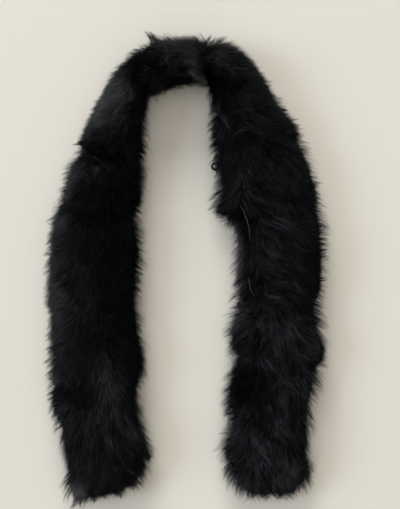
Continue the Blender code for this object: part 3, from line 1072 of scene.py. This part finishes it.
def besideWelts(points):
    # hairs that would lie over a welt
    middles = (points[:, 1:] + points[:, :-1]) / 2
    spots = np.concatenate([points, middles], axis=1)
    over = np.zeros(len(points), bool)
    for welt in welts.values():
        line = lineOf(welt)
        near = (welt["radius"] + welt["clear"]) * mm
        high = spots[:, :, 2] > line[:, 2].min() - fur["weltDepth"]
        close = awayFrom(spots.reshape(-1, 3), line[:, :2]).reshape(high.shape) < near
        over |= (close & high).any(1)
    return over


def edgeShare(surface, peltName):
    # 1 for the faces that turn down at the sides of the band, more at its ends, 0 for the others
    turned = smoothStep(1 - np.abs(surface["facing"]), *fur["edgeUpright"])
    return turned * (1 + fur["endThicker"] * endShare(peltName, surface["middles"]))


def growHairs(surface, peltName, layer, kind, weights, rng):
    # one kind of hair for a pelt; the order of the random draws sets how every hair lies
    pelt, hair = pelts[peltName], hairs[kind]
    if kind == "edge":
        weights = weights * edgeShare(surface, peltName)
    weights = weights * (1 - hair["thinned"] * markShare(surface["middles"], "sparse"))
    area = weights.sum()
    bed = makeBed(surface, peltName, int(area * hair["perArea"]), weights, rng)
    bed["tufts"] = gatherHairs(bed["outs"], area, fur["tuftSize"], fur["fewestTufts"], rng)
    points = leanHairs(bed, pelt, kind, rng)
    bed["locks"] = gatherHairs(bed["roots"], area, hair["lock"], fur["fewestLocks"], rng)
    tuft = max(pelt["tuft"], fur["edgeTuft"]) if kind == "edge" else pelt["tuft"]
    pull = (tuft + fur["endTuft"] * bed["atEnd"]) * hair["pull"]
    drawTogether(points, bed["locks"], pull * perGroup(bed["locks"], rng.uniform, *fur["pulls"]), rng)
    trimToReach(points, reachOf(bed, pelt, hair, rng))
    tones = paintHairLightAndShade(peltName, points, tonesOf(bed, peltName, layer, hair, rng), rng)
    widths = hair["width"] * rng.uniform(*fur["widths"], len(points))
    group = {"points": points, "normals": bed["normals"], "widths": widths, "tones": tones,
             "warmth": markShare(bed["outs"], "warm")}
    kept = ~besideWelts(points) if layer == "upper" else np.ones(len(points), bool)
    return {key: values[kept] for key, values in group.items()}


# ---- loose hairs of the locks with a painted highlight

wisp = {"perLength": 350, "fewest": 2, "stretches": 4, "rootSpread": 0.07, "tipSpread": 0.09,
        "widest": 0.0018, "width": 0.00028, "rootDepth": 0.003, "tipClear": 0.0012, "bow": 0.12,
        "bowSpread": 0.4, "highSpread": 0.4, "shift": 0.20, "lengths": (0.5, 1.05),
        "toneSpread": 0.14, "droop": 0.35}


def wispHeights(line):
    # the line lies on the solids, and sinks slowly where it reaches past them
    heights = []
    height, sink = hide["stripPlane"], wisp["droop"] * np.linalg.norm(line[1] - line[0])
    for x, y in line:
        top = topAt(x, y)
        height = height - sink if top is None else top
        heights.append(height)
    return np.array(heights)


def growWisps(peltName, rng):
    # every lock rises out of the fur at its root and lies on it at its tip, its hairs a little
    # bowed and of many lengths
    groups = []
    steps = np.linspace(0, 1, wisp["stretches"] + 1)
    for x0, y0, x1, y1, tone in wisps.get(peltName, []):
        start, way = np.array([x0, y0]) * mm, np.array([x1 - x0, y1 - y0]) * mm
        heights = wispHeights(start + steps[:, None] * way)
        heights = heights + wisp["tipClear"] - wisp["rootDepth"] * (1 - steps) ** 2
        whole = np.linalg.norm(way)
        count = wisp["fewest"] + int(whole * wisp["perLength"])
        sideways = np.array([-way[1], way[0]]) / whole
        share = rng.uniform(-1, 1, (count, 1)) * wisp["shift"]
        share = share + rng.uniform(*wisp["lengths"], (count, 1)) * steps
        spread = whole * (wisp["rootSpread"] + (wisp["tipSpread"] - wisp["rootSpread"]) * steps)
        spread = np.minimum(spread, wisp["widest"])
        aside = rng.normal(0, 1, (count, 1)) * spread
        bow = rng.uniform(-1, 1) + rng.normal(0, wisp["bowSpread"], (count, 1))
        aside += np.sin(math.pi * steps) * whole * wisp["bow"] * bow
        points = np.empty((count, len(steps), 3))
        points[:, :, :2] = start + share[:, :, None] * way + aside[:, :, None] * sideways
        uneven = rng.normal(0, wisp["highSpread"], (count, 1)) * spread
        points[:, :, 2] = np.interp(share, steps, heights) + uneven
        widths = wisp["width"] * rng.uniform(*fur["widths"], count)
        # the lock's hairs carry its painted highlight in their tone
        tones = np.repeat(rng.normal(tone, wisp["toneSpread"], (count, 1)), len(steps), axis=1)
        groups.append({"points": points, "normals": np.tile((0.0, 0.0, 1.0), (count, 1)),
                       "widths": widths, "tones": np.clip(tones, 0, 1), "warmth": np.zeros(count)})
    return groups


# ---- strands as a mesh of narrow ribbons

ribbon = {"twist": 28, "taper": 0.45, "roundness": 0.9, "uvMargin": 0.1}


def ribbonArrays(group, rng):
    # every hair is a strip of quads that ends in a point, shaded as if it were round
    points, widths = group["points"], group["widths"]
    count, steps = len(points), points.shape[1] - 1
    tangents = unit(points[:, -1] - points[:, 0])
    twist = np.radians(rng.normal(0, ribbon["twist"], count))[:, None]
    face = unit(group["normals"] - tangents * (group["normals"] * tangents).sum(1)[:, None])
    across = unit(np.cross(tangents, face) * np.cos(twist) + face * np.sin(twist))
    facing = unit(np.cross(across, tangents))
    size = 2 * steps + 1
    corners, shading = np.zeros((2, count, size, 3))
    tones, along = np.zeros((count, size)), np.zeros(size)
    for step in range(steps):
        half = across * (widths * (1 - ribbon["taper"] * step / steps) / 2)[:, None]
        for corner, way in ((2 * step, -1), (2 * step + 1, 1)):
            corners[:, corner] = points[:, step] + way * half
            shading[:, corner] = unit(facing + way * across * ribbon["roundness"])
            tones[:, corner] = group["tones"][:, step]
            along[corner] = step / steps
    corners[:, -1], shading[:, -1] = points[:, -1], facing
    tones[:, -1], along[-1] = group["tones"][:, -1], 1
    pattern = [2 * step + corner for step in range(steps - 1) for corner in (0, 1, 3, 2)]
    pattern += [2 * steps - 2, 2 * steps - 1, 2 * steps]
    margin = ribbon["uvMargin"]
    spots = np.zeros((size, 2))
    spots[:, 0] = [margin, 1 - margin] * steps + [0.5]
    spots[:, 1] = margin + (1 - 2 * margin) * along
    return {"corners": corners, "shading": shading, "along": along, "pattern": np.array(pattern),
            "totals": np.array([4] * (steps - 1) + [3]), "spots": spots, "tones": tones,
            "warmth": group["warmth"]}


def strandMesh(name, groups, rng):
    parts = [ribbonArrays(group, rng) for group in groups]
    strands = sum(len(part["corners"]) for part in parts)
    columns = math.ceil(math.sqrt(strands))
    colours, loops, totals, uvs = [], [], [], []
    vertexStart = strandStart = 0
    for part in parts:
        count, size = part["corners"].shape[:2]
        colour = np.ones((count, size, 4), np.float32)
        colour[:, :, 0] = part["tones"] / lightestTone
        colour[:, :, 1] = part["along"]
        colour[:, :, 2] = part["warmth"][:, None]
        colours.append(colour.ravel())
        loops.append((vertexStart + np.arange(count)[:, None] * size + part["pattern"]).ravel())
        totals.append(np.tile(part["totals"], count))
        cells = strandStart + np.arange(count)
        base = np.stack([cells % columns, cells // columns], axis=1)
        uvs.append(((base[:, None] + part["spots"][part["pattern"]]) / columns).ravel())
        vertexStart += count * size
        strandStart += count
    corners, shading = [np.concatenate([part[key].reshape(-1, 3) for part in parts])
                        for key in ("corners", "shading")]
    corners[:, 2] = np.maximum(corners[:, 2], fur["floorClear"])
    totals = np.concatenate(totals)
    mesh = bpy.data.meshes.new(name)
    mesh.vertices.add(len(corners))
    mesh.vertices.foreach_set("co", corners.astype(np.float32).ravel())
    mesh.loops.add(int(totals.sum()))
    mesh.loops.foreach_set("vertex_index", np.concatenate(loops).astype(np.int32))
    mesh.polygons.add(len(totals))
    mesh.polygons.foreach_set("loop_start", (np.cumsum(totals) - totals).astype(np.int32))
    mesh.update(calc_edges=True)
    layer = mesh.attributes.new("furToneAndPaintedLight", "FLOAT_COLOR", "POINT")
    layer.data.foreach_set("color", np.concatenate(colours))
    atlas = mesh.uv_layers.new(name="OFBake")
    atlas.uv.foreach_set("vector", np.concatenate(uvs).astype(np.float32))
    piece = newPiece(name, mesh, furStrands)
    mesh.normals_split_custom_set_from_vertices(shading)
    return piece, strands, int((totals - 2).sum())


def growFur(name, layer, peltName, surface, seed, covered=1.0):
    rng = np.random.default_rng(seed)
    onFloor = surface["facing"] < fur["floorFaces"]
    weights = faceAreas(surface["places"], surface["faces"])
    weights = weights * np.where(onFloor, fur["floorShare"], 1.0) * covered
    groups = [growHairs(surface, peltName, layer, kind, weights, rng) for kind in hairs]
    if layer == "upper":
        groups += growWisps(peltName, rng)
    return strandMesh(name, groups, rng)


# ---- pieces of hide

def newPiece(name, mesh, material):
    mesh.shade_smooth()
    mesh.materials.append(material)
    piece = newObject(name, mesh)
    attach(piece, "root")
    return piece


def hideShell(name, places, faces, finish):
    mesh = bpy.data.meshes.new(name)
    mesh.from_pydata(places.tolist(), [], faces.tolist())
    shell = newPiece(name, mesh, mottled[finish])
    thick = shell.modifiers.new("hideThickness", "SOLIDIFY")
    thick.thickness = hide["thickness"]
    thick.offset = -1
    return shell


def declareSheet(node, places, faces):
    # it is cut as long as its solid's box, and as wide as its area then asks
    low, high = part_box(node)
    flatLength = max(high.x - low.x, high.y - low.y)
    flatWidth = faceAreas(places, faces).sum() / flatLength
    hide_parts(node)


def capWords(name):
    return "".join(part.capitalize() for part in name.split("_"))


def buildPelts():
    strands = triangles = 0
    for order, peltName in enumerate(bandOrder):
        for under, layer in enumerate(("upper", "under")):
            node, words = layer + "_" + peltName, layer + capWords(peltName)
            surface = peltSurface(node)
            roots, faces = surface["roots"], surface["faces"]
            shell = hideShell(words + "Hide", roots, faces, "denseUnderfur")
            seed = fur["firstSeed"] + 2 * order + under
            piece, grown, drawn = growFur(words + "Fur", layer, peltName, surface, seed)
            strands, triangles = strands + grown, triangles + drawn
            declareSheet(node, roots, faces)
        print("pelt", peltName, "done,", strands, "strands,", triangles, "triangles so far")


buildPelts()


# ---- the bare tuck below the neck

# The neck pelt's fur hangs over its left part and thins out from noFur back to fullFur.
tuck = {"cell": 0.002, "inset": 0.0006, "rootDepth": 0.0015, "noFur": 0.004, "fullFur": -0.003,
        "furDensity": 2.0, "darkest": 0.10, "plain": 0.50, "seed": 90}

# Soft folds along and across it: places in millimetres, width and height, below zero for a trough.
tuckFolds = table("line width height", [
    ([(-12, 196), (2, 192), (16, 189)], 1.8, -1.6),
    ([(-9, 188), (3, 186), (13, 184)], 1.6, 1.1),
    ([(-2, 200), (0, 193)], 1.0, -0.6),
    ([(7, 198), (9, 190), (8, 184)], 1.1, 0.9),
    ([(14, 195), (15, 188)], 0.9, -0.8),
    ([(-9, 199), (-7, 193)], 1.2, 0.8),
])

# Painted highlights on its hide: places in millimetres, width and how much lighter.
tuckHighlights = table("line width light", [
    ([(2, 193), (10, 189), (18, 186)], 2.3, 1.6),
    ([(5, 196), (17, 194)], 0.8, 1.6),
])


def buildTuck():
    places, normals, faces = readShape(refinedShape("neck_tuck", tuck["cell"]))
    rise = -tuck["inset"] + drift(places, "tuckLump")
    for fold in tuckFolds:
        near = softLine(places, lineOf(fold), fold["width"] * mm)
        rise += fold["height"] * mm * near * np.clip(normals[:, 2], 0, 1)
    places += normals * rise[:, None]
    shell = hideShell("neckTuckHide", places, faces, "dyedHide")
    surface = surfaceOf(places, normals, places - normals * tuck["rootDepth"], faces)
    covered = 1 - smoothStep(surface["middles"][:, 0], tuck["fullFur"], tuck["noFur"])
    piece = growFur("neckTuckFur", "upper", "neck_tuck", surface, tuck["seed"],
                    covered * tuck["furDensity"])[0]
    # its hide's painted light: a plain level with the painted highlights along their lines
    shade = np.full(len(places), tuck["plain"])
    for patch in tuckHighlights:
        shade += patch["light"] * softLine(places, lineOf(patch), patch["width"] * mm)
    # darker on its left part: painted shade under the neck's overhang, where the neck's fur also hangs
    # over it
    clear = smoothStep(places[:, 0], tuck["fullFur"], tuck["noFur"])
    bare = np.ones((len(places), 4), np.float32)
    bare[:, :3] = (shade * (tuck["darkest"] + (1 - tuck["darkest"]) * clear))[:, None]
    layer = shell.data.attributes.new("bareTone", "FLOAT_COLOR", "POINT")
    layer.data.foreach_set("color", bare.ravel())
    declareSheet("neck_tuck", places, faces)


buildTuck()
print("tuck done")


# ---- tubes: the welts, and the wire hook and eyes with their thread

steep = 0.9                  # a path that rises more than this needs another way to its side


def tubeMesh(name, path, radius, sides, closed=False):
    # a tube round a closed path, or along an open one with flat ends
    path = np.asarray(path, float)
    count = len(path)
    ahead = np.roll(path, -1, axis=0) - np.roll(path, 1, axis=0)
    if not closed:
        ahead[0], ahead[-1] = path[1] - path[0], path[-1] - path[-2]
    ahead = unit(ahead)
    radii = np.broadcast_to(radius, count)
    level = abs(ahead[:, 2]).max() < steep
    sideways = unit(np.cross(ahead, (0.0, 0.0, 1.0) if level else (0.0, 1.0, 0.0)))
    upwards = np.cross(sideways, ahead)
    turn = (np.arange(sides) * 2 * math.pi / sides)[None, :, None]
    ring = np.cos(turn) * sideways[:, None] + np.sin(turn) * upwards[:, None]
    corners = (path[:, None] + ring * radii[:, None, None]).reshape(-1, 3)
    faces = []
    for row in range(count if closed else count - 1):
        here, there = row * sides, (row + 1) % count * sides
        for side in range(sides):
            other = (side + 1) % sides
            faces.append((here + side, here + other, there + other, there + side))
    if not closed:
        faces.append(tuple(range(sides))[::-1])
        faces.append(tuple((count - 1) * sides + side for side in range(sides)))
    mesh = bpy.data.meshes.new(name)
    mesh.from_pydata(corners.tolist(), [], faces)
    shape = bmesh.new()
    shape.from_mesh(mesh)
    bmesh.ops.recalc_face_normals(shape, faces=shape.faces)
    shape.to_mesh(mesh)
    shape.free()
    return mesh


weltForm = {"steps": 12, "sides": 8, "blunt": 0.12, "taper": 0.5}


def buildWelts():
    for name, welt in welts.items():
        path = smoothLine(lineOf(welt), weltForm["steps"])
        path += np.stack([drift(path, "welt" + axis) for axis in "XYZ"], axis=1)
        turn = np.linspace(weltForm["blunt"], math.pi - weltForm["blunt"], len(path))
        radius = welt["radius"] * mm * np.sin(turn) ** weltForm["taper"]
        radius = radius * (1 + drift(path, "weltWidth"))
        mesh = tubeMesh(name + "Welt", path, radius, weltForm["sides"])
        newPiece(name + "Welt", mesh, mottled["cutHideEdge"])


buildWelts()
print("welts done")

wire = {
    "radius": 0.00120,
    "sides": 10,
    "thread": 0.00016,       # its radius
    "threadSides": 6,
    "threadStep": 30,
    "stitches": 4,
    "stitchGap": 2.4,        # times the thread's radius
    "stitchTail": 2.6,       # how far the thread reaches into the hide, times the wire's own reach
    "sewnAt": (-75, -45, -15, 15, 45, 75),  # round an eye
    "eyeEnd": 345,
    "eyeSteps": 24,
    "hookLift": 1.5,         # times the wire's radius
    "shank": (0, 0.33, 0.66),
    "bendSteps": 12,
    "bill": ((0.0, 0.0008, 0.0001), (-0.0002, 0.0018, 0.0003)),
    "ringRadius": 0.0011,
    "ringWire": 0.85,        # as thick as this share of the wire
    "ringEnd": 330,
    "shankSewn": 0.0012,
}


def arcPoints(centre, radius, start, end, count, height):
    turn = np.radians(np.linspace(start, end, count))
    radius = np.broadcast_to(radius, 2)
    return np.stack([centre[0] + radius[0] * np.cos(turn), centre[1] + radius[1] * np.sin(turn),
                     np.full(count, height)], axis=1)


def joined(name, meshes):
    shape = bmesh.new()
    for mesh in meshes:
        shape.from_mesh(mesh)
        bpy.data.meshes.remove(mesh)
    whole = bpy.data.meshes.new(name)
    shape.to_mesh(whole)
    shape.free()
    return whole


def sewRing(name, centre, height, towards):
    # thread wound over a wire and down into the fur
    way = math.radians(towards)
    forward = np.array((math.cos(way), math.sin(way), 0.0))
    along = np.array((-forward[1], forward[0], 0.0))
    turn = np.radians(np.arange(0, 360, wire["threadStep"]))
    lean = np.where(np.cos(turn) > 0, wire["stitchTail"], 1.0) * np.cos(turn)
    loop = lean[:, None] * forward + np.sin(turn)[:, None] * (0, 0, 1)
    loop = (wire["radius"] + wire["thread"]) * loop
    loops = []
    for stitch in range(wire["stitches"]):
        place = stitch - (wire["stitches"] - 1) / 2
        middle = np.array((*centre, height)) + along * place * wire["thread"] * wire["stitchGap"]
        loops.append(tubeMesh(name, middle + loop, wire["thread"], wire["threadSides"], True))
    return joined(name, loops)


def wireNode(node, name, wires, threads):
    piece = newPiece(name, joined(name, wires), mottled["lacqueredWire"])
    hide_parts(node)
    newPiece(name + "Thread", joined(name + "Thread", threads), mottled["blackThread"])


def buildEye(node):
    low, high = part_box(node)
    name = node.split("_")[0] + capWords(node.split("_")[1])
    centre = ((low.x + high.x) / 2, (low.y + high.y) / 2)
    height = (low.z + high.z) / 2
    halves = ((high.x - low.x) / 2 - wire["radius"], (high.y - low.y) / 2 - wire["radius"])
    path = arcPoints(centre, halves, 0, wire["eyeEnd"], wire["eyeSteps"], height)
    ring = tubeMesh(name, path, wire["radius"], wire["sides"], True)
    threads = []
    for angle in wire["sewnAt"]:
        turn = math.radians(angle)
        place = (centre[0] + halves[0] * math.cos(turn), centre[1] + halves[1] * math.sin(turn))
        threads.append(sewRing(name + "Sewn", place, height, angle))
    wireNode(node, name, [ring], threads)


def buildHook():
    # a shank with a ring at its top, a round bend at its foot and a short bill
    low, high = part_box("hook")
    height = low.z + wire["radius"] * wire["hookLift"]
    bend = (high.x - low.x) / 2 - wire["radius"]
    x, y = (low.x + high.x) / 2, low.y + bend + wire["radius"]
    top = high.y - wire["ringRadius"] * 2
    shank = [(x - bend, top - share * (top - y), height) for share in wire["shank"]]
    bill = [(x + bend + right, y + up, height + rise) for right, up, rise in wire["bill"]]
    arc = arcPoints((x, y), bend, 180, 360, wire["bendSteps"], height)
    ringX, ringY = x - bend, top + wire["ringRadius"]
    ring = arcPoints((ringX, ringY), wire["ringRadius"], 0, wire["ringEnd"], wire["bendSteps"], height)
    wires = [tubeMesh("hookWire", np.vstack([shank, arc, bill]), wire["radius"], wire["sides"]),
             tubeMesh("hookWire", ring, wire["radius"] * wire["ringWire"], wire["sides"], True)]
    threads = [sewRing("hookSewn", (ringX, ringY + wire["ringRadius"]), height, 90),
               sewRing("hookSewn", (x - bend, y + wire["shankSewn"]), height, 180)]
    wireNode("hook", "hookWire", wires, threads)


buildEye("eye_high")
buildEye("eye_low")
buildHook()
print("hook and eyes done")
